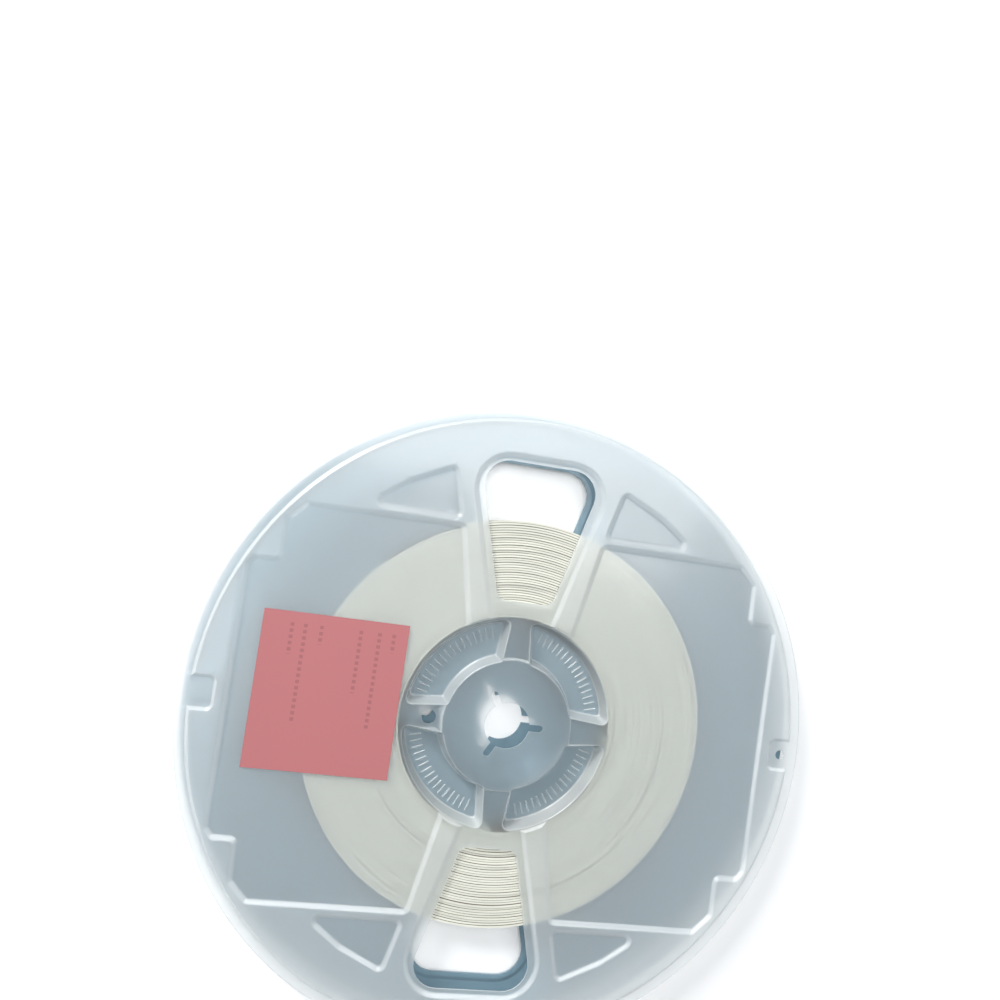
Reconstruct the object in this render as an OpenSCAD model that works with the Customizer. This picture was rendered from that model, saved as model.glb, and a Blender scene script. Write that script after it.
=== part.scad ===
// Carrier tape reel for 8 mm wide paper tape, lying flat with its axis upright.
// Two alike halves, each formed from one thin sheet, meet at the middle in the
// floors of four hub pockets. The roll of tape lies between the flanges, and a
// label is stuck on the front panel. Z = 0 is the face that the reel lies on.

/* [Reel] */
// Diameter over the flanges
reel_d = 180; // [178:0.5:200]
// Width between the flanges, inside, at the recessed panels
flange_gap = 9; // [8.4:0.1:14]
// Thickness of the formed sheet
sheet_t = 0.5; // [0.4:0.05:0.6]
// Height of the raised plateau over the recessed panels
relief_h = 0.7; // [0.5:0.1:1]
// Width of the slopes between plateau and panels, seen from above
slope_w = 2; // [1:0.1:2.2]
// Width of the low ring outside the plateau
rim_w = 2.6; // [2:0.1:4]
// Width of the slope at the plateau's outer edge and its notches
edge_w = 1.2; // [0.6:0.1:1.4]

/* [Hub] */
// Outer diameter of the hub that the tape is wound on
hub_d = 60.4; // [56:0.2:64]
// Diameter of the raised boss in the middle
boss_d = 36.6; // [32:0.2:40]
// How far the pocket walls lean in between face and floor
wall_draft = 0.9; // [0.5:0.1:1.2]
// Radius between the pocket walls and the floor
floor_r = 0.6; // [0.3:0.1:0.8]
// Width of a spoke where it leaves the boss
spoke_in_w = 8.4; // [7:0.2:10]
// Width of a spoke where it meets the flange
spoke_out_w = 6; // [5:0.2:8]
// Corner radius of a pocket at the flange
pocket_out_r = 1.6; // [1.2:0.1:2.4]
// Corner radius of a pocket at the boss
pocket_in_r = 0.8; // [0.7:0.1:1.4]
// Diameter of the round hole in the left spoke
spoke_hole_d = 4; // [2:0.1:4.6]
// Distance of that hole from the axis
spoke_hole_at = 22.4; // [22:0.1:25]

/* [Arbor hole] */
// Diameter of the arbor hole
arbor_d = 13; // [12.8:0.1:13.5]
// Width of the three drive slots
slot_w = 2; // [1.5:0.1:2.5]
// Distance from the axis to the round end of a slot
slot_reach = 10.4; // [9.5:0.1:11]

/* [Weld marks] */
// Marks in a full turn, before those at the spokes are left out
mark_count = 90; // [60:2:120]
// Distance from the axis to the inner end of a mark
mark_in = 24; // [22.5:0.1:25]
// Length of a mark
mark_len = 3.4; // [2:0.1:3.6]
// Width of a mark
mark_w = 0.5; // [0.3:0.1:0.7]
// Height of a mark over the pocket floor
mark_h = 0.2; // [0.1:0.05:0.3]

/* [Windows] */
// Distance from the axis to the inner edge of a window
window_in = 35; // [33:0.5:38]
// Distance from the axis to the outer edge of a window
window_out = 74.5; // [70:0.5:75]
// Width of a window at its inner edge, corners sharp
window_in_w = 15.8; // [12:0.2:16]
// Width of a window at its outer edge, corners sharp
window_out_w = 37; // [32:0.2:37]
// Corner radius at the inner edge
window_in_r = 2.8; // [1:0.1:4]
// Corner radius at the outer edge
window_out_r = 7; // [4:0.5:8]
// Width of the flat ledge along a window's sides
ledge_w = 1.6; // [1.2:0.1:2]
// Width of the ledge beyond a window's outer edge
ledge_out_w = 0.7; // [0.5:0.1:1]

/* [Panels] */
// Distance from the axis to a panel's outer edge
panel_x = 77.3; // [76.6:0.1:78]
// Half the height of that outer edge
panel_edge_y = 35.5; // [30:0.5:36]
// Distance from the axis to the panel's shoulder
shoulder_x = 69; // [66:0.5:70]
// Height at which the shoulder steps in
shoulder_y = 37.8; // [37.6:0.1:40]
// Half the height of a panel
panel_y = 54; // [52:0.1:54.2]
// Size of the corner cut off the panel
panel_cut = 5; // [3:0.5:8]
// Radius of the panels' corners
corner_r = 1.6; // [1.2:0.1:2]
// Width of the raised frame beside a window, over its flat top and half its slopes
frame_w = 7; // [6:0.1:8]

/* [Corner pockets] */
// Crest between a panel and a corner pocket
crest_w = 0.4; // [0.2:0.1:0.6]
// Length of a corner pocket along the panel
corner_len = 27.2; // [22:0.2:28]
// Distance from the axis to the tip of a corner pocket
corner_tip_y = 70.5; // [66:0.5:71]
// How far the slanted side bows out
corner_bow = 1.2; // [0:0.1:1.5]

/* [Notches and holes at the rim] */
// Distance from the rim to the inner edge of a notch
notch_in = 9.3; // [8.4:0.1:9.6]
// Width of a notch
notch_w = 8.8; // [6:0.2:10]
// Diameter of the hole in the right notch
rim_hole_d = 2.7; // [1.5:0.1:3]
// Distance of that hole from the rim
rim_hole_in = 5.5; // [5:0.1:6]

/* [Tape] */
// Width of the tape
tape_w = 8; // [7.9:0.05:8.3]
// Diameter of the full roll
roll_d = 115; // [80:1:130]
// Gap between the hub and the first turn
hub_gap = 0.1; // [0.05:0.05:0.5]
// Ridges on each face of the roll, each standing for about three turns
ridge_count = 12; // [6:1:16]
// Depth of the grooves between the ridges
groove_h = 0.22; // [0.1:0.02:0.3]
// How far some turns stand up over their neighbours
stagger = 0.14; // [0:0.02:0.2]

/* [Label] */
// Length of the label along X
label_l = 39.7; // [30:0.1:42]
// Width of the label along Y
label_w = 43; // [30:0.5:60]
// Thickness of the label
label_t = 0.1; // [0.08:0.01:0.2]
// Distance from the axis to the label's inner edge
label_in = 31.3; // [31.2:0.1:34]
// How far the label's middle lies off the X axis
label_y = 2.8; // [-6:0.1:6]

/* [Hidden] */
panel_z = flange_gap / 2 + sheet_t;       // outer face of the panels, from the middle
plateau_z = panel_z + relief_h;           // outer face of the plateau, from the middle
reel_r = reel_d / 2;
boss_r = boss_d / 2;
boss_rim = 0.4;                           // the boss reaches this far over the spokes
pocket_r = hub_d / 2 - sheet_t;           // pocket wall at the panel face
hub_edge = 0.4;                           // low strip between pocket and plateau
hub_slope = 0.8;                          // width of the slope behind it
overrun = 1;                              // how far a cutter runs past what it cuts
lap = 0.15;                               // how far raised parts are sunk in the disc
rounded_slope = [[0, 0], [0.3, 0.12], [0.7, 0.88], [1, 1]]; // across and up a slope
straight_slope = [[0, 0], [1, 1]];
arc_steps = 3;                            // steps in a rounded corner
small_hole_fn = 32;                       // facets around the two small holes
window_lean = (window_out_w - window_in_w) / 2 / (window_out - window_in);
ledge_mid = ledge_w + slope_w / 2;        // from a window's side to mid slope
ledge_out = window_out + ledge_out_w + slope_w / 2;
foot_y = 22;                              // recesses end here, inside the hub
frame_taper = 0.068;                      // how fast the frame narrows outwards
shoulder_slant = 0.8;                     // run of the edge up to the shoulder, over its rise
corner_y = panel_y + slope_w + crest_w;   // near side of a corner pocket
corner_shift = 0.8;                       // from the frame's line to its near end
corner_bow_r = 8;                         // radius of the bow in its slanted side
tip_lean = 3.7;                           // how far its inner side leans out
pocket_mid = 45;                          // direction of the middle of a hub pocket
pocket_steps = [5, 2, 3, 8];              // steps along boss, inner corner, outer corner, wall
floor_arc = [0.25, 0.3];                  // point on a floor's fillet, in and up, in floor_r
under_arc = 0.6;                          // the same fillet's reach under the sheet
spoke_lean = atan((spoke_out_w - spoke_in_w) / 2 / (pocket_r - boss_r));
spoke_off = (spoke_in_w / 2 - boss_r * tan(spoke_lean)) * cos(spoke_lean);
roll_in = hub_d / 2 + hub_gap;
ridge_w = (roll_d / 2 - roll_in) / ridge_count;
ridge_turn = 47;                          // spreads the raised ridges unevenly
roll_z = relief_h + sheet_t;              // the roll lies on the rear panel

$fn = 96;

function unit(v) = v / norm(v);

// Directions of the two sides that meet at corner i, of an anticlockwise outline
function side_in(c, i) = unit([c[i].x - c[(i + len(c) - 1) % len(c)].x,
                               c[i].y - c[(i + len(c) - 1) % len(c)].y]);
function side_out(c, i) = side_in(c, (i + 1) % len(c));
function way(c, i) = cross(side_in(c, i), side_out(c, i)) > 0 ? 1 : -1;

// Corner i moved out by d. One that juts out gains radius, one that juts in loses it.
function moved(c, i, d) =
    let (a = side_in(c, i),
         b = side_out(c, i),
         out = (a + b) / (1 + a * b))
    [c[i].x + d * out.y, c[i].y - d * out.x, c[i][2] + way(c, i) * d];

// Points along the arc that rounds corner i
function corner_arc(c, i) =
    let (a = side_in(c, i),
         b = side_out(c, i),
         bend = acos(a * b),
         mid = [c[i].x, c[i].y] + unit(b - a) * c[i][2] / cos(bend / 2),
         from = atan2(-way(c, i) * a.x, way(c, i) * a.y))
    [for (k = [0:arc_steps]) let (at = from + way(c, i) * bend * k / arc_steps)
        mid + c[i][2] * [cos(at), sin(at)]];

// Rounded outline of the corners c, moved out by d
function outline(c, d = 0) =
    let (m = [for (i = [0:len(c) - 1]) moved(c, i, d)])
    [for (i = [0:len(c) - 1]) each corner_arc(m, i)];

// Solid through rings of points, each ring [height, outline], lowest first
module loft(rings) {
    n = len(rings[0][1]);
    last = len(rings) - 1;
    points = [for (ring = rings) for (p = ring[1]) [p.x, p.y, ring[0]]];
    sides = [for (k = [0:last - 1]) for (i = [0:n - 1])
        [k * n + i, (k + 1) * n + i, (k + 1) * n + (i + 1) % n, k * n + (i + 1) % n]];
    bottom = [for (i = [0:n - 1]) i];
    top = [for (i = [n - 1:-1:0]) last * n + i];
    polyhedron(points, concat([bottom], sides, [top]));
}

// Cutter for a recess with sloped sides, from over the plateau down to panel height
module recess(c, width = slope_w, shape = rounded_slope) {
    slope = [for (s = shape) [panel_z + s.y * relief_h, outline(c, (s.x - 0.5) * width)]];
    loft(concat([[panel_z - overrun, outline(c, -width / 2)]], slope,
                [[plateau_z + overrun, outline(c, width / 2)]]));
}

function window_half(y) = window_in_w / 2 + (y - window_in) * window_lean;
function ledge_half(y) = window_half(y) + ledge_mid * sqrt(1 + window_lean * window_lean);
function frame_half(y) = ledge_half(y) + frame_w - (y - foot_y) * frame_taper;

window_corners = [
    [-window_half(window_in), window_in, window_in_r],
    [window_half(window_in), window_in, window_in_r],
    [window_half(window_out), window_out, window_out_r],
    [-window_half(window_out), window_out, window_out_r]];

ledge_corners = [
    [-ledge_half(foot_y), foot_y, corner_r],
    [ledge_half(foot_y), foot_y, corner_r],
    [ledge_half(ledge_out), ledge_out, window_out_r + ledge_mid],
    [-ledge_half(ledge_out), ledge_out, window_out_r + ledge_mid]];

panel_top = [                             // upper half of the right panel's outline
    [panel_x, panel_edge_y, corner_r],
    [panel_x - (shoulder_y - panel_edge_y) * shoulder_slant, shoulder_y, corner_r],
    [shoulder_x, shoulder_y, corner_r],
    [shoulder_x, panel_y - panel_cut, corner_r],
    [shoulder_x - panel_cut, panel_y, corner_r],
    [frame_half(panel_y), panel_y, corner_r],
    [frame_half(foot_y), foot_y, corner_r]];
panel_corners = concat(panel_top,
    [for (i = [len(panel_top) - 1:-1:0]) let (c = panel_top[i]) [c.x, -c.y, c[2]]]);

corner_near = frame_half(panel_y) + corner_shift;
corner_mid = [(2 * corner_near + corner_len + tip_lean) / 2, (corner_y + corner_tip_y) / 2]
    + corner_bow * unit([corner_tip_y - corner_y, corner_len - tip_lean]);
corner_corners = [
    [corner_near, corner_y, corner_r],
    [corner_near + corner_len, corner_y, corner_r],
    [corner_mid.x, corner_mid.y, corner_bow_r],
    [corner_near + tip_lean, corner_tip_y, corner_r]];

notch_corners = [
    [reel_r - notch_in, -notch_w / 2, corner_r],
    [reel_r + 2 * overrun, -notch_w / 2, corner_r],
    [reel_r + 2 * overrun, notch_w / 2, corner_r],
    [reel_r - notch_in, notch_w / 2, corner_r]];

// Plateau of the flange, with panels, ledges, corner pockets and notches pressed in
module plateau() {
    difference() {
        translate([0, 0, panel_z - lap])
            cylinder(r1 = reel_r - rim_w + lap, r2 = reel_r - rim_w - edge_w, h = relief_h + lap);
        rotate_extrude() polygon([
            [0, panel_z - overrun],
            [pocket_r + hub_edge, panel_z - overrun],
            [pocket_r + hub_edge, panel_z],
            [pocket_r + hub_edge + hub_slope, plateau_z],
            [pocket_r + hub_edge + hub_slope, plateau_z + overrun],
            [0, plateau_z + overrun]]);
        for (side = [0, 180]) rotate(side) {
            recess(panel_corners);
            recess(ledge_corners);
            recess(corner_corners);
            mirror([1, 0, 0]) recess(corner_corners);
            recess(notch_corners, edge_w, straight_slope);
        }
    }
}

// How far a pocket's walls have leaned in at height z
function lean_at(z) = wall_draft * (panel_z - z) / (panel_z - sheet_t);

// Half of a hub pocket's outline, from the boss out to the flange, drawn in by d.
// Its outer corners tighten half as fast, so they are still round at the floor.
function pocket_side(d) =
    let (u = [cos(spoke_lean), sin(spoke_lean)],
         v = [-u.y, u.x],
         r_in = pocket_in_r,
         r_out = pocket_out_r - d / 2,
         off_in = spoke_off + d + r_in,
         off_out = spoke_off + d + r_out,
         mid_in = off_in * v + sqrt(pow(boss_r + d + r_in, 2) - pow(off_in, 2)) * u,
         mid_out = off_out * v + sqrt(pow(pocket_r - d - r_out, 2) - pow(off_out, 2)) * u,
         at_in = atan2(mid_in.y, mid_in.x),
         at_out = atan2(mid_out.y, mid_out.x),
         side = 270 + spoke_lean,
         n = pocket_steps)
    concat(
        [for (k = [0:n[0] - 1]) let (a = pocket_mid + (at_in - pocket_mid) * k / n[0])
            (boss_r + d) * [cos(a), sin(a)]],
        [for (k = [0:n[1]]) let (a = at_in + 180 + (side - at_in - 180) * k / n[1])
            mid_in + r_in * [cos(a), sin(a)]],
        [for (k = [0:n[2]]) let (a = side + (at_out + 360 - side) * k / n[2])
            mid_out + r_out * [cos(a), sin(a)]],
        [for (k = [1:n[3]]) let (a = at_out + (pocket_mid - at_out) * k / n[3])
            (pocket_r - d) * [cos(a), sin(a)]]);

function pocket_outline(d) =
    let (side = pocket_side(d))
    concat(side, [for (i = [len(side) - 2:-1:1]) [side[i].y, side[i].x]]);

// One of the four pockets between the spokes, or with drop the outside of its sheet
module hub_pocket(drop) {
    base = lean_at(sheet_t);
    foot = drop > 0
        ? [[-2 * overrun, pocket_outline(base + under_arc * floor_r - drop)]]
        : [[sheet_t, pocket_outline(base + floor_r)],
           [sheet_t + floor_arc.y * floor_r, pocket_outline(base + floor_arc.x * floor_r)]];
    loft(concat(foot, [
        [sheet_t + floor_r, pocket_outline(lean_at(sheet_t + floor_r) - drop)],
        [plateau_z + overrun, pocket_outline(lean_at(plateau_z + overrun) - drop)]]));
}

// Everything under the sheet's outer face, or with drop under its inner face
module under_sheet(drop) {
    spare = drop > 0 ? overrun : 0;
    difference() {
        union() {
            translate([0, 0, -spare]) cylinder(r = reel_r + spare, h = panel_z - drop + spare);
            translate([0, 0, -drop]) plateau();
            translate([0, 0, panel_z - drop - lap])
                cylinder(r1 = boss_r + boss_rim + lap - drop, r2 = boss_r + boss_rim - drop,
                         h = relief_h + lap);
        }
        for (turn = [0:90:270]) rotate(turn) hub_pocket(drop);
    }
}

// Short bars on the pocket floors, where the two halves are welded
module weld_marks() {
    step = 360 / mark_count;
    clear = asin((spoke_in_w / 2 + wall_draft + floor_r) / mark_in);
    for (a = [step / 2:step:360])
        if (a % 90 > clear && a % 90 < 90 - clear)
            rotate(a) translate([mark_in, -mark_w / 2, sheet_t - mark_h / 2])
                cube([mark_len, mark_w, 1.5 * mark_h]);
}

// Arbor hole with its three drive slots, from the middle to over the face
module arbor_hole() {
    cylinder(d = arbor_d, h = plateau_z + overrun);
    for (a = [0:120:240]) rotate(a) {
        translate([0, -slot_w / 2, 0])
            cube([slot_reach - slot_w / 2, slot_w, plateau_z + overrun]);
        translate([slot_reach - slot_w / 2, 0, 0]) cylinder(d = slot_w, h = plateau_z + overrun);
    }
}

// One half of the reel, outer face up, the middle of the reel at Z = 0
module half() {
    difference() {
        union() {
            difference() {
                under_sheet(0);
                under_sheet(sheet_t);
            }
            weld_marks();
        }
        arbor_hole();
        for (side = [0, 180]) rotate(side)
            linear_extrude(plateau_z + overrun) polygon(outline(window_corners));
        translate([-spoke_hole_at, 0, 0])
            cylinder(d = spoke_hole_d, h = plateau_z + overrun, $fn = small_hole_fn);
        translate([reel_r - rim_hole_in, 0, 0])
            cylinder(d = rim_hole_d, h = plateau_z, $fn = small_hole_fn);
    }
}

module front_half() {
    color([0.7, 0.78, 0.82, 0.8]) translate([0, 0, plateau_z]) half();
}

// The same form turned over about the X axis, so slots and holes line up
module rear_half() {
    color([0.62, 0.71, 0.77, 0.8]) translate([0, 0, plateau_z]) rotate([180, 0, 0]) half();
}

function ridge_lift(i) = stagger * max(0, sin(i * ridge_turn));

// The wound tape: its turns show as ridges on both faces, some a little higher
module tape_roll() {
    top = [for (i = [0:ridge_count - 1])
        let (r = roll_in + i * ridge_w, z = roll_z + tape_w + ridge_lift(i))
        each [[r, z - groove_h], [r + ridge_w / 2, z]]];
    bottom = [for (i = [ridge_count - 1:-1:0])
        let (r = roll_in + i * ridge_w, z = roll_z + ridge_lift(i))
        each [[r + ridge_w / 2, z], [r, z + groove_h]]];
    color([0.93, 0.92, 0.85]) rotate_extrude() polygon(concat(
        top, [[roll_d / 2, roll_z + tape_w - groove_h]],
        [[roll_d / 2, roll_z + groove_h]], bottom));
}

module part_label() {
    color([0.85, 0.5, 0.52])
        translate([-label_in - label_l, label_y - label_w / 2, plateau_z + panel_z])
            cube([label_l, label_w, label_t]);
}

front_half();
rear_half();
tape_roll();
part_label();
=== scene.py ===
from math import acos, asin, atan2, cos, pi, radians, sin, sqrt

import bpy
import numpy as np
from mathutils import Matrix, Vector
from mathutils.geometry import delaunay_2d_cdt


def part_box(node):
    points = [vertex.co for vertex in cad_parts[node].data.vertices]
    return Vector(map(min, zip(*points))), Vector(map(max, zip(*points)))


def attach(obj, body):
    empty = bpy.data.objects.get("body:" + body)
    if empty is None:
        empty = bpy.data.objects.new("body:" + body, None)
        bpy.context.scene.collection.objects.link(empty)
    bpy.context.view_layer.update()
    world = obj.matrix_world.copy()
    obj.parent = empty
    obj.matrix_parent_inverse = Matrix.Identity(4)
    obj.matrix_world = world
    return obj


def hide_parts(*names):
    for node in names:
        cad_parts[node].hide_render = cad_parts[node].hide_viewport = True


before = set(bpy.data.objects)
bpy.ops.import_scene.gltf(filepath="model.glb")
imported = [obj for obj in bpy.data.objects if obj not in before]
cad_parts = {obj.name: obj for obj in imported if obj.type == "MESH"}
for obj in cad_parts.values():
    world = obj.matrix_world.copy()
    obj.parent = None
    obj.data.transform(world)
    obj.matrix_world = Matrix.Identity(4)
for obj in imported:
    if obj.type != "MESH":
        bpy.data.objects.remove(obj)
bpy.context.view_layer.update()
print("Frame loaded:", ", ".join(sorted(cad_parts)))

mm = 0.001  # shapes are drawn in millimetres, with the reel's axis on Z

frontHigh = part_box("front_half")[1]
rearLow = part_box("rear_half")[0]
rollLow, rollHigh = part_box("tape_roll")
labelLow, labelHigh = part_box("part_label")

middleZ = (frontHigh.z + rearLow.z) / 2 / mm   # the halves meet here
panelZ = labelLow.z / mm - middleZ             # outer face of the panels, from the middle
plateauZ = frontHigh.z / mm - middleZ          # outer face of the plateau
rimRadius = frontHigh.x / mm

# The formed sheet of one half
sheet = {
    "thickness": 0.5,
    "floorGap": 0.02,       # keeps the two halves' floors from lying in one plane
    "slopeWidth": 2.0,      # between plateau and panels
    "rimWidth": 2.6,        # low ring outside the plateau
    "edgeWidth": 1.2,       # slope down to that ring and in the notches
    "hubRing": 30.2,        # the plateau's inner slope starts at this radius
    "hubSlope": 0.9,
    "bossRadius": 18.3,
    "bossEdge": 0.3,        # the boss's step, outside its radius
    "bossSlope": 0.5,
    "bossGap": 0.1,         # the step ends this far from a pocket's mouth
    "pocketRadius": 29.7,
    "wallDraft": 0.9,
    "floorRadius": 0.6,
    "mouthRadius": 0.4,     # rounding at a pocket's mouth
    "spokeInner": 8.4,
    "spokeOuter": 6.0,
    "cornerInner": 0.8,
    "cornerOuter": 1.6,
    "sharpAngle": 50,       # edges bent further than this stay sharp
    "rimSteps": 360, "plateauSteps": 240, "hubSteps": 180, "bossSteps": 720, "roundSteps": 6,
}
slopeSteps = (0, 0.14, 0.28, 0.42, 0.58, 0.72, 0.86, 1)
warp = {  # the flange isn't quite flat
    "depth": 0.05, "from": 34.0, "fade": 20.0,
    "waveX": 21.0, "waveY": 26.0, "waveAcross": 15.0, "secondWave": 0.6,
    "phaseX": 0.7, "phaseY": 0.4, "phaseAcross": 1.9,
}
grid = {"step": 3.6, "fromRim": 1.0, "fromHub": 2.0, "fromPoints": 0.9, "fromSlopes": 0.6}
cutouts = {
    "arborRadius": 6.5, "slotWidth": 2.0, "slotReach": 10.4,
    "windowIn": 35.0, "windowOut": 74.5, "windowInHalf": 7.9, "windowOutHalf": 18.5,
    "windowInRadius": 2.8, "windowOutRadius": 7.0,
    "spokeHoleAt": 22.4, "spokeHoleRadius": 2.0, "spokeHoleSteps": 32,
    "rimHoleIn": 5.5, "rimHoleRadius": 1.35, "rimHoleSteps": 28,
    "slotSteps": 9, "arborSteps": 15,
}
relief = {
    "ledgeWidth": 1.6, "ledgeOuter": 0.7, "footY": 22.0,
    "frameWidth": 7.0, "frameTaper": 0.068, "cornerRadius": 1.6,
    "panelX": 77.3, "panelEdgeY": 35.5, "shoulderX": 69.0, "shoulderY": 37.8,
    "shoulderSlant": 0.8, "panelY": 54.0, "panelCut": 5.0,
    "pocketNear": 56.4, "pocketShift": 0.8, "pocketLength": 27.2, "pocketTip": 70.5,
    "tipLean": 3.7, "bow": 1.2, "bowRadius": 8.0,
    "notchDepth": 9.3, "notchHalf": 4.4,
    "notchPast": 2.0,       # a notch's outline runs this far past the rim
}
weldMarks = {
    "count": 90, "inner": 24.0, "length": 3.4, "width": 0.55, "height": 0.2,
    "bevel": 0.2, "fromWall": 0.9,
}


def unit(v):
    return v / np.linalg.norm(v)


def turned(points, degrees):
    a = radians(degrees)
    return points @ np.array([[cos(a), sin(a)], [-sin(a), cos(a)]])


def circle(radius, steps=180, at=(0, 0)):
    a = np.linspace(0, 2 * pi, steps, endpoint=False)
    return np.stack([at[0] + radius * np.cos(a), at[1] + radius * np.sin(a)], axis=1)


def outlineOf(corners, grow=0.0, steps=8, leastRadius=0.05):
    # Rounded outline of anticlockwise corners (x, y, radius), moved out by grow
    points = np.array([c[:2] for c in corners], float)
    sides = [unit(points[(i + 1) % len(points)] - points[i]) for i in range(len(points))]
    outline = []
    for i, corner in enumerate(corners):
        a, b = sides[i - 1], sides[i]
        turn = 1 if a[0] * b[1] - a[1] * b[0] > 0 else -1
        out = (a + b) / (1 + a @ b)
        tip = points[i] + grow * np.array([out[1], -out[0]])
        radius = max(corner[2] + turn * grow, leastRadius)
        bend = acos(a @ b)
        centre = tip + unit(b - a) * radius / cos(bend / 2)
        start = atan2(-turn * a[0], turn * a[1])
        for k in range(steps + 1):
            at = start + turn * bend * k / steps
            outline.append(centre + radius * np.array([cos(at), sin(at)]))
    return np.array(outline)


def distanceTo(outline, points):
    # How far points lie outside a closed outline, negative for those inside it
    nearest = np.full(len(points), 1e9)
    inside = np.zeros(len(points), bool)
    for p, q in zip(outline, np.roll(outline, -1, axis=0)):
        side = q - p
        along = np.clip((points - p) @ side / max(side @ side, 1e-12), 0, 1)
        nearest = np.minimum(nearest, np.hypot(*(points - p - along[:, None] * side).T))
        if p[1] != q[1]:
            crossX = p[0] + (points[:, 1] - p[1]) * side[0] / side[1]
            inside ^= ((p[1] > points[:, 1]) != (q[1] > points[:, 1])) & (points[:, 0] < crossX)
    return np.where(inside, -nearest, nearest)


def easedStep(u):
    return 0.5 - 0.5 * np.cos(pi * np.clip(u, 0, 1))


def windowHalf(y):
    c = cutouts
    share = (y - c["windowIn"]) / (c["windowOut"] - c["windowIn"])
    return c["windowInHalf"] + (c["windowOutHalf"] - c["windowInHalf"]) * share


def ledgeHalf(y):
    c = cutouts
    lean = (c["windowOutHalf"] - c["windowInHalf"]) / (c["windowOut"] - c["windowIn"])
    return windowHalf(y) + (relief["ledgeWidth"] + sheet["slopeWidth"] / 2) * sqrt(1 + lean * lean)


def frameHalf(y):
    return ledgeHalf(y) + relief["frameWidth"] - (y - relief["footY"]) * relief["frameTaper"]


def windowCorners():
    c = cutouts
    return [(-c["windowInHalf"], c["windowIn"], c["windowInRadius"]),
            (c["windowInHalf"], c["windowIn"], c["windowInRadius"]),
            (c["windowOutHalf"], c["windowOut"], c["windowOutRadius"]),
            (-c["windowOutHalf"], c["windowOut"], c["windowOutRadius"])]


def ledgeCorners():
    foot, out = relief["footY"], cutouts["windowOut"] + relief["ledgeOuter"] + sheet["slopeWidth"] / 2
    small = relief["cornerRadius"]
    large = cutouts["windowOutRadius"] + relief["ledgeWidth"] + sheet["slopeWidth"] / 2
    return [(-ledgeHalf(foot), foot, small), (ledgeHalf(foot), foot, small),
            (ledgeHalf(out), out, large), (-ledgeHalf(out), out, large)]


def panelCorners():
    r = relief
    small = r["cornerRadius"]
    upper = [(r["panelX"], r["panelEdgeY"], small),
             (r["panelX"] - (r["shoulderY"] - r["panelEdgeY"]) * r["shoulderSlant"], r["shoulderY"], small),
             (r["shoulderX"], r["shoulderY"], small),
             (r["shoulderX"], r["panelY"] - r["panelCut"], small),
             (r["shoulderX"] - r["panelCut"], r["panelY"], small),
             (frameHalf(r["panelY"]), r["panelY"], small),
             (frameHalf(r["footY"]), r["footY"], small)]
    return upper + [(x, -y, radius) for x, y, radius in reversed(upper)]


def cornerPocketCorners():
    r = relief
    near, small = frameHalf(r["panelY"]) + r["pocketShift"], r["cornerRadius"]
    ends = np.array([[near + r["pocketLength"], r["pocketNear"]], [near + r["tipLean"], r["pocketTip"]]])
    outward = unit(np.array([ends[1, 1] - ends[0, 1], ends[0, 0] - ends[1, 0]]))
    bowed = ends.mean(axis=0) + r["bow"] * outward
    return [(near, r["pocketNear"], small), (*ends[0], small),
            (*bowed, r["bowRadius"]), (*ends[1], small)]


def notchCorners():
    r = relief
    inner, outer = rimRadius - r["notchDepth"], rimRadius + r["notchPast"]
    small = r["cornerRadius"]
    return [(inner, -r["notchHalf"], small), (outer, -r["notchHalf"], small),
            (outer, r["notchHalf"], small), (inner, r["notchHalf"], small)]


def mirroredX(outline):
    return outline[::-1] * np.array([-1, 1])


def recesses():
    # Each recess: a function from growth to outline, and the width of its slope
    wide, narrow = sheet["slopeWidth"], sheet["edgeWidth"]
    shapes = []
    for half in (0, 180):
        shapes += [
            (lambda g, a=half: turned(outlineOf(panelCorners(), g), a), wide),
            (lambda g, a=half: turned(outlineOf(ledgeCorners(), g), a), wide),
            (lambda g, a=half: turned(outlineOf(cornerPocketCorners(), g), a), wide),
            (lambda g, a=half: turned(mirroredX(outlineOf(cornerPocketCorners(), g)), a), wide),
            (lambda g, a=half: turned(outlineOf(notchCorners(), g), a), narrow)]
    return shapes


def chainsOutside(outline, limit):
    # The parts of a closed outline that lie further than limit from the axis
    chains, chain = [], []
    for p, q in zip(outline, np.roll(outline, -1, axis=0)):
        outP, outQ = np.hypot(*p) >= limit, np.hypot(*q) >= limit
        if outP:
            chain.append(p)
        if outP != outQ:
            side = q - p
            root = sqrt((p @ side) ** 2 - (side @ side) * (p @ p - limit ** 2))
            chain.append(p + side * (-(p @ side) + (-root if outP else root)) / (side @ side))
        if outP and not outQ:
            chains.append(chain)
            chain = []
    if chain and chains:
        chains[0] = chain + chains[0]
    return chains or [chain + chain[:1]]


def surfaceHeight(points, shapes):
    # Outer face of the sheet around the hub pockets, from the reel's middle
    radius = np.hypot(*points.T)
    rise = easedStep((radius - sheet["hubRing"]) / sheet["hubSlope"])
    rise = np.minimum(rise, easedStep((rimRadius - sheet["rimWidth"] - radius) / sheet["edgeWidth"]))
    for shape, width in shapes:
        rise = np.minimum(rise, easedStep(distanceTo(shape(0), points) / width + 0.5))
    bossEnd = sheet["bossRadius"] + sheet["bossEdge"] + sheet["bossSlope"]
    rise = np.maximum(rise, easedStep((bossEnd - radius) / sheet["bossSlope"]))
    x, y = points.T
    w = warp
    wave = np.sin(x / w["waveX"] + w["phaseX"]) * np.cos(y / w["waveY"] - w["phaseY"])
    wave = wave + w["secondWave"] * np.sin((x + y) / w["waveAcross"] + w["phaseAcross"])
    wave = wave - (1 + w["secondWave"])  # the warp only goes inward
    fade = np.clip((radius - w["from"]) / w["fade"], 0, 1)
    return panelZ + (plateauZ - panelZ) * rise + w["depth"] * wave * fade


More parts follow.
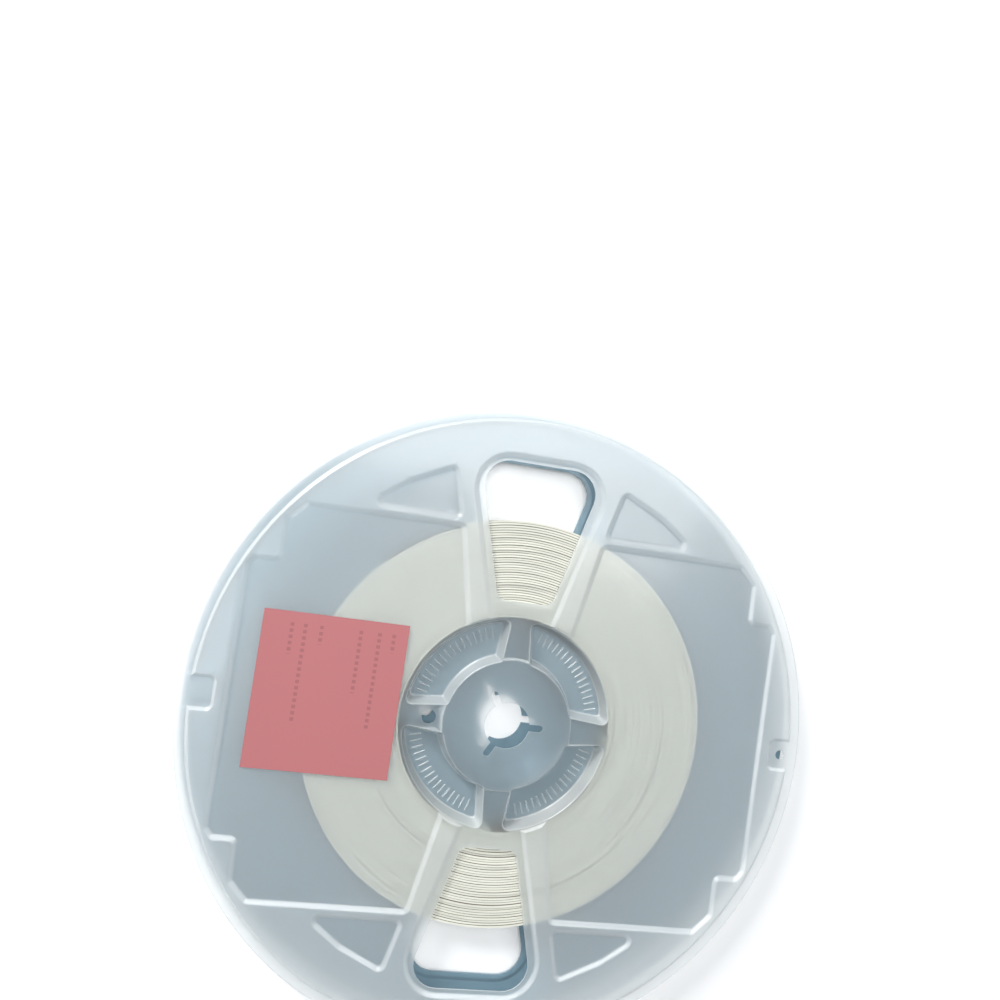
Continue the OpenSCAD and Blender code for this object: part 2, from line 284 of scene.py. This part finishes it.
def hubPocketOutline(inward, steps=(10, 5, 6, 18)):
    # Pocket between two spokes, drawn inward: boss, inner corner, outer corner, wall
    s = sheet
    lean = atan2((s["spokeOuter"] - s["spokeInner"]) / 2, s["pocketRadius"] - s["bossRadius"])
    along = np.array([cos(lean), sin(lean)])
    across = np.array([-along[1], along[0]])
    flank = (s["spokeInner"] / 2 - s["bossRadius"] * sin(lean) / cos(lean)) * cos(lean)
    rIn, rOut = s["cornerInner"], s["cornerOuter"] - inward / 2
    offIn, offOut = flank + inward + rIn, flank + inward + rOut
    midIn = offIn * across + sqrt((s["bossRadius"] + inward + rIn) ** 2 - offIn ** 2) * along
    midOut = offOut * across + sqrt((s["pocketRadius"] - inward - rOut) ** 2 - offOut ** 2) * along
    atIn, atOut = atan2(midIn[1], midIn[0]), atan2(midOut[1], midOut[0])
    flankTurn = 3 * pi / 2 + lean
    side = []

    def arc(centre, radius, start, end, count, first=0):
        for k in range(first, count + 1):
            a = start + (end - start) * k / count
            side.append(centre + radius * np.array([cos(a), sin(a)]))

    arc(np.zeros(2), s["bossRadius"] + inward, pi / 4, atIn, steps[0])
    arc(midIn, rIn, atIn + pi, flankTurn, steps[1], 1)
    arc(midOut, rOut, flankTurn, atOut + 2 * pi, steps[2])
    arc(np.zeros(2), s["pocketRadius"] - inward, atOut, pi / 4, steps[3], 1)
    return np.array(side + [p[::-1] for p in side[-2:0:-1]])


def arborOutline():
    c = cutouts
    half = c["slotWidth"] / 2
    corner = asin(half / c["arborRadius"])
    points = []
    for slot in (0, 120, 240):
        end = [(c["slotReach"] - half + half * cos(a), half * sin(a))
               for a in np.linspace(-pi / 2, pi / 2, c["slotSteps"])]
        arc = [(c["arborRadius"] * cos(a), c["arborRadius"] * sin(a))
               for a in np.linspace(corner, radians(120) - corner, c["arborSteps"])]
        points += list(turned(np.array(end + arc), slot))
    return np.array(points)


def sheetMesh():
    # Plan of the sheet as rings of points, joined by a constrained triangulation
    s = sheet
    shapes = recesses()
    points, heights, edges = [], [], []

    def addRing(outline, height=None, closed=True):
        first, count = len(points), len(outline)
        points.extend(Vector(p) for p in outline)
        heights.extend([None] * count if height is None else np.broadcast_to(height, count))
        edges.extend((first + i, first + (i + 1) % count) for i in range(count if closed else count - 1))

    rim = circle(rimRadius, s["rimSteps"])
    addRing(rim)
    for u in slopeSteps:
        addRing(circle(rimRadius - s["rimWidth"] - s["edgeWidth"] * u, s["plateauSteps"]))
        addRing(circle(s["hubRing"] + s["hubSlope"] * u, s["hubSteps"]))
    for shape, width in shapes:
        for u in slopeSteps:
            for chain in chainsOutside(shape(width * (u - 0.5)), s["hubRing"]):
                addRing(chain, closed=False)

    c = cutouts
    window = outlineOf(windowCorners())
    holes = [arborOutline(), window, turned(window, 180),
             circle(c["spokeHoleRadius"], c["spokeHoleSteps"], (-c["spokeHoleAt"], 0)),
             circle(c["rimHoleRadius"], c["rimHoleSteps"], (rimRadius - c["rimHoleIn"], 0))]
    for hole in holes:
        addRing(hole)

    # Pocket walls: rounded mouth, leaning wall, rounded foot, flat floor
    floorZ = s["thickness"] + s["floorGap"]
    mouth = s["mouthRadius"]
    foot = s["floorRadius"]
    rounding = np.linspace(0, pi / 2, s["roundSteps"])
    mouths, floors = [], []
    for turn in (0, 90, 180, 270):
        for a in rounding:
            ring = turned(hubPocketOutline(-mouth * (1 - sin(a))), turn)
            addRing(ring, surfaceHeight(ring, shapes) - mouth * (1 - cos(a)))
        mouths.append(turned(hubPocketOutline(-mouth), turn))
        for a in rounding:
            ring = turned(hubPocketOutline(s["wallDraft"] + foot * (1 - cos(a))), turn)
            addRing(ring, floorZ + foot * (1 - sin(a)))
        floors.append(turned(hubPocketOutline(s["wallDraft"] + foot), turn))

    # Boss step, drawn on the spokes only
    quarter = s["bossSteps"] // 4
    for u in slopeSteps:
        ring = circle(s["bossRadius"] + s["bossEdge"] + s["bossSlope"] * u, s["bossSteps"])
        onSpoke = np.all([distanceTo(m, ring) > s["bossGap"] for m in mouths], axis=0)
        for turn in range(4):
            part = np.roll(np.arange(len(ring)), quarter // 2 - turn * quarter)[:quarter]
            addRing(ring[part[onSpoke[part]]], closed=False)

    # Weld marks: short rounded bars standing up from the floors
    w = weldMarks
    for turn in np.arange(0.5, w["count"]) * 360 / w["count"]:
        middle = turned(np.array([[w["inner"] + w["length"] / 2, 0]]), turn)
        if not any(distanceTo(f, middle)[0] < -w["fromWall"] for f in floors):
            continue
        for inset, height in ((0, 0), (w["bevel"] / 2, w["height"] * 0.6), (w["bevel"], w["height"])):
            half, reach = w["width"] / 2 - inset, w["length"] / 2 - w["width"] / 2
            end = np.array([(reach + half * cos(a), half * sin(a)) for a in np.linspace(-pi / 2, pi / 2, 5)])
            bar = np.concatenate([end, -end]) + [w["inner"] + w["length"] / 2, 0]
            addRing(turned(bar, turn), floorZ + height)

    # A loose grid over the flange carries the warp
    step = grid["step"]
    rows = np.arange(-rimRadius, rimRadius, step * sqrt(3) / 2)
    spots = np.array([(x + step / 2 * (i % 2), y) for i, y in enumerate(rows)
                      for x in np.arange(-rimRadius, rimRadius, step)])
    radius = np.hypot(*spots.T)
    keep = (radius < rimRadius - grid["fromRim"]) & (radius > s["hubRing"] + grid["fromHub"])
    placed = np.array([tuple(p) for p in points])
    for i in np.flatnonzero(keep):
        if np.min(np.hypot(*(placed - spots[i]).T)) < grid["fromPoints"]:
            keep[i] = False
    for shape, width in shapes:
        keep[keep] = np.abs(distanceTo(shape(0), spots[keep])) > width / 2 + grid["fromSlopes"]
    for spot in spots[keep]:
        points.append(Vector(spot))
        heights.append(None)

    # Points closer than 0.0001 mm are joined
    flat, _, faces, origins, _, _ = delaunay_2d_cdt(points, edges, [], 0, 1e-4)
    flat = np.array([tuple(p) for p in flat])
    z = surfaceHeight(flat, shapes)
    for i, sources in enumerate(origins):
        known = [heights[k] for k in sources if heights[k] is not None]
        if known:
            z[i] = known[0]
    faces = np.array(faces)
    centres = flat[faces].mean(axis=1)
    solid = distanceTo(rim, centres) < 0
    for hole in holes:
        solid &= distanceTo(hole, centres) > 0
    used, faces = np.unique(faces[solid], return_inverse=True)
    return np.column_stack([flat, z])[used], faces.reshape(-1, 3)


def addObject(name, vertices, faces):
    mesh = bpy.data.meshes.new(name)
    mesh.from_pydata([tuple(v) for v in vertices], [], [tuple(int(i) for i in f) for f in faces])
    mesh.validate()
    mesh.update()
    piece = bpy.data.objects.new(name, mesh)
    bpy.context.scene.collection.objects.link(piece)
    return piece


def baked(piece):
    # Turns the piece's modifiers into plain mesh
    graph = bpy.context.evaluated_depsgraph_get()
    mesh = bpy.data.meshes.new_from_object(piece.evaluated_get(graph))
    piece.modifiers.clear()
    piece.data = mesh
    return piece


def formedHalf(name, vertices, faces, side):
    # side 1 is the front half, -1 the rear half: the same form turned over about X
    flip = np.array([1, side, side])
    placed = (vertices * flip + [0, 0, middleZ]) * mm
    piece = addObject(name, placed, faces)
    solid = piece.modifiers.new("Sheet", "SOLIDIFY")
    solid.thickness = sheet["thickness"] * mm
    solid.offset = -1
    solid.use_even_offset = False
    solid.use_quality_normals = True
    baked(piece)
    for polygon in piece.data.polygons:
        polygon.use_smooth = True
    piece.data.set_sharp_from_angle(angle=radians(sheet["sharpAngle"]))
    piece.modifiers.new("Normals", "WEIGHTED_NORMAL").keep_sharp = True
    return baked(piece)


vertices, faces = sheetMesh()
print("Sheet:", len(vertices), "points,", len(faces), "triangles")

frontSheet = formedHalf("front_sheet", vertices, faces, 1)
rearSheet = formedHalf("rear_sheet", vertices, faces, -1)
for piece, node in ((frontSheet, "front_half"), (rearSheet, "rear_half")):
    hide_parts(node)

# The wound tape, one long spiral
tape = {
    "innerRadius": 30.3,
    "outerRadius": rollHigh.x / mm,
    "pitch": 0.71,
    "gap": 0.13,           # between two turns
    "grooveDepth": 0.35,
    "stagger": 0.12,       # turns stand a little up or down
    "staggerRates": (0.377, 2.43), "staggerPhase": 0.4, "staggerSecond": 0.5,
    "waviness": 0.09,      # turns run a little in and out
    "wavinessRates": (0.37, 3.1), "wavinessPhase": 1.0,
    "trimLow": 0.12, "trimHigh": 0.14,  # room for the stagger inside the roll's width
    "stepsPerTurn": 200,
}


def spiralRoll(name):
    t = tape
    steps = t["stepsPerTurn"]
    count = int((t["outerRadius"] - t["innerRadius"]) / t["pitch"] * steps)
    turnAt = np.arange(count + 1) / steps
    angle = turnAt * 2 * pi
    slow, fast = t["wavinessRates"]
    inner = t["innerRadius"] + t["pitch"] * turnAt
    inner += (t["waviness"] * np.sin(angle * slow) * np.sin(angle * fast + t["wavinessPhase"])
              * np.clip(turnAt, 0, 1))
    slow, fast = t["staggerRates"]
    stagger = t["stagger"] * (np.sin(angle * slow + t["staggerPhase"])
                              + t["staggerSecond"] * np.sin(angle * fast))
    lowZ, highZ = rollLow.z / mm + t["trimLow"], rollHigh.z / mm - t["trimHigh"]
    rows = []  # inner edge, outer edge and groove of a turn on top, then the same three below
    for edge, groove in ((highZ, -t["grooveDepth"]), (lowZ, t["grooveDepth"])):
        for across, drop in ((0, 0), (t["pitch"] - t["gap"], 0), (t["pitch"] - t["gap"] / 2, groove)):
            radius = inner + across
            height = edge + stagger + drop
            rows.append(np.column_stack([radius * np.cos(angle), radius * np.sin(angle), height]))
    size = count + 1
    faces = []

    def strip(a, b, first, last, shift=0):
        # Faces between row a and row b, which may be a whole turn further out
        for i in range(first, last):
            faces.append((a * size + i, b * size + i + shift, b * size + i + 1 + shift, a * size + i + 1))

    strip(0, 1, 0, count)
    strip(1, 2, 0, count - steps)
    strip(2, 0, 0, count - steps, steps)
    strip(4, 3, 0, count)
    strip(5, 4, 0, count - steps)
    for i in range(count - steps):  # a strip that faces down
        faces.append((3 * size + i + steps, 5 * size + i, 5 * size + i + 1, 3 * size + i + 1 + steps))
    strip(3, 0, 0, steps)
    strip(1, 4, count - steps, count)
    return addObject(name, np.concatenate(rows) * mm, faces)


roll = spiralRoll("wound_tape")
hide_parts("tape_roll")
print("Roll:", len(roll.data.polygons), "faces")

# The label: a thin paper sheet that has lifted a little at its outer end
label = {
    "lift": 0.25, "liftFrom": 0.7,
    "ripple": 0.025, "rippleX": 5.1, "rippleY": 7.3,
    "gap": 0.03,            # between the paper and the flange
    "columns": 24, "rows": 26,
}


def stuckLabel(name):
    low, high = np.array(labelLow) / mm, np.array(labelHigh) / mm
    xs = np.linspace(low[0], high[0], label["columns"] + 1)
    ys = np.linspace(low[1], high[1], label["rows"] + 1)
    across = len(xs)
    points, faces = [], []
    for layer in (label["gap"], high[2] - low[2]):
        for y in ys:
            for x in xs:
                share = (high[0] - x) / (high[0] - low[0])
                lift = label["lift"] * max(0, (share - label["liftFrom"]) / (1 - label["liftFrom"])) ** 2
                ripple = label["ripple"] * (1 + sin(x / label["rippleX"] + y / label["rippleY"])) * share
                points.append((x, y, low[2] + layer + lift + ripple))
    top = len(points) // 2
    for j in range(len(ys) - 1):
        for i in range(across - 1):
            k = j * across + i
            faces.append((top + k, top + k + 1, top + k + across + 1, top + k + across))
            faces.append((k + across, k + across + 1, k + 1, k))
    edge = list(range(across))
    edge += [j * across + across - 1 for j in range(1, len(ys))]
    edge += [(len(ys) - 1) * across + i for i in range(across - 2, -1, -1)]
    edge += [j * across for j in range(len(ys) - 2, 0, -1)]
    for a, b in zip(edge, edge[1:] + edge[:1]):
        faces.append((a, b, top + b, top + a))
    return addObject(name, np.array(points) * mm, faces)


paperLabel = stuckLabel("paper_label")
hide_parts("part_label")
for piece in (frontSheet, rearSheet, roll, paperLabel):
    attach(piece, "root")
print("Label:", len(paperLabel.data.polygons), "faces")


class shaderTree:
    # A new material with its Principled shader, and short ways to add nodes to it
    def __init__(self, name, **inputs):
        self.material = bpy.data.materials.new(name)
        self.material.use_nodes = True
        self.tree = self.material.node_tree
        self.main = self.tree.nodes["Principled BSDF"]
        for socket, value in inputs.items():
            self.main.inputs[socket.replace("_", " ")].default_value = value

    def node(self, kind, settings=None, **inputs):
        made = self.tree.nodes.new("ShaderNode" + kind)
        for key, value in (settings or {}).items():
            setattr(made, key, value)
        for socket, value in inputs.items():
            slot = made.inputs[int(socket[1:]) if socket[1:].isdigit() else socket.replace("_", " ")]
            if isinstance(value, bpy.types.NodeSocket):
                self.tree.links.new(value, slot)
            else:
                slot.default_value = value
        return made

    def link(self, source, socket):
        self.tree.links.new(source, self.main.inputs[socket])

    def math(self, operation, a, b=0.0):
        return self.node("Math", {"operation": operation}, _0=a, _1=b).outputs[0]

    def axisDistance(self, parts):
        # How far a point lies from the reel's axis
        flat = self.node("CombineXYZ", X=parts.outputs["X"], Y=parts.outputs["Y"]).outputs[0]
        return self.node("VectorMath", {"operation": "LENGTH"}, _0=flat).outputs["Value"]


plastic = {
    "frontColour": (0.95, 0.99, 0.99, 1), "frontOpacity": 0.62, "frontClear": 0.90,
    # The rear half is the same plastic as the front: its darker colour and higher opacity are painted shade,
    # the shade beneath the reel.
    "rearColour": (0.18, 0.29, 0.36, 1), "rearOpacity": 0.85, "rearClear": 0.0,
    # The flange is milkier than the hub. It is made whiter where it is raised, which is painted sheen, and
    # where it slopes, which is painted highlight along with some real scattering in the tilted sheet.
    "milky": 0.12, "raisedSheen": 0.14, "slopeMilkAndHighlight": 0.34,
    "milkyFrom": 30.0, "milkyFull": 34.0,
    "slopeFrom": 0.99, "slopeFull": 0.85,  # how upright a face's normal is
    "roughness": 0.38, "smoother": 0.06, "rougher": 0.08, "hazeScale": 22,
    "gloss": 1.0, "glossRoughness": 0.13, "bending": 1.5,
    "bumpScale": 160, "bumpStrength": 0.15, "bumpDepth": 0.02,
}


def plasticMaterial(half, side):
    p = plastic
    shader = shaderTree("reel_plastic_" + half, Base_Color=p[half + "Colour"], Alpha=p[half + "Opacity"],
                        Transmission_Weight=p[half + "Clear"], Coat_Weight=p["gloss"],
                        Coat_Roughness=p["glossRoughness"], IOR=p["bending"])
    place = shader.node("TexCoord").outputs["Object"]
    haze = shader.node("TexNoise", Vector=place, Scale=p["hazeScale"], Detail=2.0)
    rough = shader.node("MapRange", Value=haze.outputs["Fac"], To_Min=p["roughness"] - p["smoother"],
                        To_Max=p["roughness"] + p["rougher"])
    shader.link(rough.outputs["Result"], "Roughness")
    if p[half + "Clear"]:
        parts = shader.node("SeparateXYZ", Vector=place)
        radius = shader.axisDistance(parts)
        raised = shader.node("MapRange", Value=parts.outputs["Z"], From_Min=(middleZ + side * panelZ) * mm,
                             From_Max=(middleZ + side * plateauZ) * mm).outputs["Result"]
        outer = shader.node("MapRange", Value=radius, From_Min=p["milkyFrom"] * mm,
                            From_Max=p["milkyFull"] * mm).outputs["Result"]
        # Painted sheen: the raised parts of the flange are made whiter
        milkAndPaintedLight = shader.math("ADD", shader.math("MULTIPLY", raised, p["raisedSheen"]), p["milky"])
        milkAndPaintedLight = shader.math("MULTIPLY", milkAndPaintedLight, outer)
        # Painted highlight, partly real scattering: faces that slope are made whiter
        facing = shader.node("SeparateXYZ", Vector=shader.node("TexCoord").outputs["Normal"]).outputs["Z"]
        slope = shader.node("MapRange", Value=shader.math("ABSOLUTE", facing),
                            From_Min=p["slopeFrom"], From_Max=p["slopeFull"])
        milkAndPaintedLight = shader.math("ADD", milkAndPaintedLight, shader.math("MULTIPLY", slope.outputs["Result"], p["slopeMilkAndHighlight"]))
        shader.link(shader.math("SUBTRACT", p[half + "Clear"], milkAndPaintedLight), "Transmission Weight")
    grain = shader.node("TexNoise", Vector=place, Scale=p["bumpScale"], Detail=3.0)
    bump = shader.node("Bump", Height=grain.outputs["Fac"], Strength=p["bumpStrength"],
                       Distance=p["bumpDepth"] * mm)
    shader.link(bump.outputs["Normal"], "Normal")
    return shader.material


paper = {
    # The dark colour in the gaps between turns is painted shade
    "colour": (0.76, 0.76, 0.665, 1), "gapShadeColour": (0.20, 0.18, 0.15, 1), "roughness": 0.75,
    "toneSpread": 0.16, "toneScale": 60.0,
    "toneShift": 3.7,       # from one turn to the next
    "toneDark": 0.35, "toneLight": 0.62,
    "shadeLineWidening": 1.1,
}


def paperMaterial():
    # Each turn of the spiral has its own tone, with a painted shade line in the gap beside it
    shader = shaderTree("tape_paper", Base_Color=paper["colour"], Roughness=paper["roughness"])
    place = shader.node("TexCoord").outputs["Object"]
    parts = shader.node("SeparateXYZ", Vector=place)
    angle = shader.math("ARCTAN2", parts.outputs["Y"], parts.outputs["X"])
    depth = shader.math("SUBTRACT", shader.axisDistance(parts), tape["innerRadius"] * mm)
    along = shader.math("DIVIDE", depth, tape["pitch"] * mm)
    turns = shader.math("SUBTRACT", along, shader.math("DIVIDE", angle, 2 * pi))
    share = shader.math("FRACT", turns)
    shift = shader.math("MULTIPLY", shader.math("FLOOR", turns), paper["toneShift"])
    tone = shader.node("TexNoise", {"noise_dimensions": "4D"}, Vector=place, W=shift,
                       Scale=paper["toneScale"], Detail=2.0)
    low = [c * (1 - paper["toneSpread"]) for c in paper["colour"][:3]] + [1]
    ramp = shader.node("ValToRGB", Fac=tone.outputs["Fac"])
    stops = ((paper["toneDark"], low), (paper["toneLight"], paper["colour"]))
    for stop, (position, colour) in zip(ramp.color_ramp.elements, stops):
        stop.position = position
        stop.color = colour
    gap = shader.math("GREATER_THAN", share, 1 - tape["gap"] / tape["pitch"] * paper["shadeLineWidening"])
    mixed = shader.node("Mix", {"data_type": "RGBA"}, _0=gap, _6=ramp.outputs["Color"], _7=paper["gapShadeColour"])
    shader.link(mixed.outputs[2], "Base Color")
    return shader.material


labelPaper = {
    "colour": (0.45, 0.15, 0.155, 1), "printColour": (0.20, 0.07, 0.08, 1), "roughness": 0.6,
    "printLines": ((0.90, 0.12), (0.80, 0.62), (0.67, 0.40), (0.40, 0.12), (0.29, 0.62), (0.20, 0.20)),
    "dash": 1.7, "dashShare": 0.55, "lineWidth": 1.0, "margin": 0.07, "printStrength": 0.45,
    "fibreScale": 900.0, "fibreStrength": 0.1, "fibreDepth": 0.02,
}


def labelMaterial():
    # Plain paper with lines of short dark dashes where print would be
    shader = shaderTree("label_paper", Base_Color=labelPaper["colour"], Roughness=labelPaper["roughness"])
    place = shader.node("TexCoord").outputs["Object"]
    parts = shader.node("SeparateXYZ", Vector=place)
    across = shader.node("MapRange", Value=parts.outputs["X"], From_Min=labelLow.x, From_Max=labelHigh.x)
    down = shader.node("MapRange", Value=parts.outputs["Y"], From_Min=labelHigh.y, From_Max=labelLow.y)
    lineHalf = labelPaper["lineWidth"] * mm / (labelHigh.x - labelLow.x) / 2
    marks = 0.0
    for at, length in labelPaper["printLines"]:
        line = shader.math("COMPARE", across.outputs["Result"], at)
        line.node.inputs[2].default_value = lineHalf
        begun = shader.math("GREATER_THAN", down.outputs["Result"], labelPaper["margin"])
        ended = shader.math("LESS_THAN", down.outputs["Result"], labelPaper["margin"] + length)
        inside = shader.math("MULTIPLY", begun, ended)
        marks = shader.math("MAXIMUM", marks, shader.math("MULTIPLY", line, inside))
    beat = shader.math("FRACT", shader.math("DIVIDE", parts.outputs["Y"], labelPaper["dash"] * mm))
    marks = shader.math("MULTIPLY", marks, shader.math("LESS_THAN", beat, labelPaper["dashShare"]))
    marks = shader.math("MULTIPLY", marks, labelPaper["printStrength"])
    mixed = shader.node("Mix", {"data_type": "RGBA"}, _0=marks, _6=labelPaper["colour"],
                        _7=labelPaper["printColour"])
    shader.link(mixed.outputs[2], "Base Color")
    fibre = shader.node("TexNoise", Vector=place, Scale=labelPaper["fibreScale"], Detail=4.0)
    bump = shader.node("Bump", Height=fibre.outputs["Fac"], Strength=labelPaper["fibreStrength"],
                       Distance=labelPaper["fibreDepth"] * mm)
    shader.link(bump.outputs["Normal"], "Normal")
    return shader.material


for piece, material in ((frontSheet, plasticMaterial("front", 1)), (rearSheet, plasticMaterial("rear", -1)),
                        (roll, paperMaterial()), (paperLabel, labelMaterial())):
    piece.data.materials.clear()
    piece.data.materials.append(material)
    print("Material:", material.name, "on", piece.name)

# Floor, light and camera
stage = {
    "floorSize": 6.0, "floorZ": -0.05 * mm,  # just clear of the faces that lie on it
    "floorColour": (0.96, 0.96, 0.96, 1), "floorRoughness": 0.9,
    "skyColour": (0.86, 0.93, 1, 1), "sky": 0.28,
    "lights": (  # place, width, depth, power
        ((-0.85, 1.0, 0.8), 0.5, 0.5, 21),
        ((0.12, 0.36, 1.2), 1.0, 0.5, 8),
        ((-0.42, -0.12, 1.2), 0.45, 0.45, 2),
    ),
    "cameraAt": (-0.0542, 0.0533, 0.2518), "cameraTurn": (0.71, -10.27, 8.60),
    "lens": 31.05, "sensor": 36, "clipStart": 0.01,
}


def addFloor():
    half = stage["floorSize"] / 2
    low = stage["floorZ"]
    corners = [(-half, -half, low), (half, -half, low), (half, half, low), (-half, half, low)]
    floor = addObject("floor", corners, [(0, 1, 2, 3)])
    shader = shaderTree("floor_paper", Base_Color=stage["floorColour"], Roughness=stage["floorRoughness"])
    floor.data.materials.append(shader.material)


def addLight(at, width, depth, power):
    light = bpy.data.lights.new("softbox", "AREA")
    light.shape = "RECTANGLE"
    light.size = width
    light.size_y = depth
    light.energy = power
    lamp = bpy.data.objects.new("softbox", light)
    lamp.location = at
    lamp.rotation_euler = (-Vector(at)).to_track_quat("-Z", "Y").to_euler()
    bpy.context.scene.collection.objects.link(lamp)


def addCamera():
    view = bpy.data.cameras.new("camera")
    view.lens = stage["lens"]
    view.sensor_width = stage["sensor"]
    view.clip_start = stage["clipStart"]
    camera = bpy.data.objects.new("camera", view)
    camera.location = stage["cameraAt"]
    camera.rotation_euler = [radians(a) for a in stage["cameraTurn"]]
    bpy.context.scene.collection.objects.link(camera)
    bpy.context.scene.camera = camera


addFloor()
for light in stage["lights"]:
    addLight(*light)
addCamera()
world = bpy.data.worlds.new("sky")
bpy.context.scene.world = world
world.use_nodes = True
sky = world.node_tree.nodes["Background"]
sky.inputs["Color"].default_value = stage["skyColour"]
sky.inputs["Strength"].default_value = stage["sky"]
bpy.context.scene.view_settings.view_transform = "Standard"
print("Stage set")
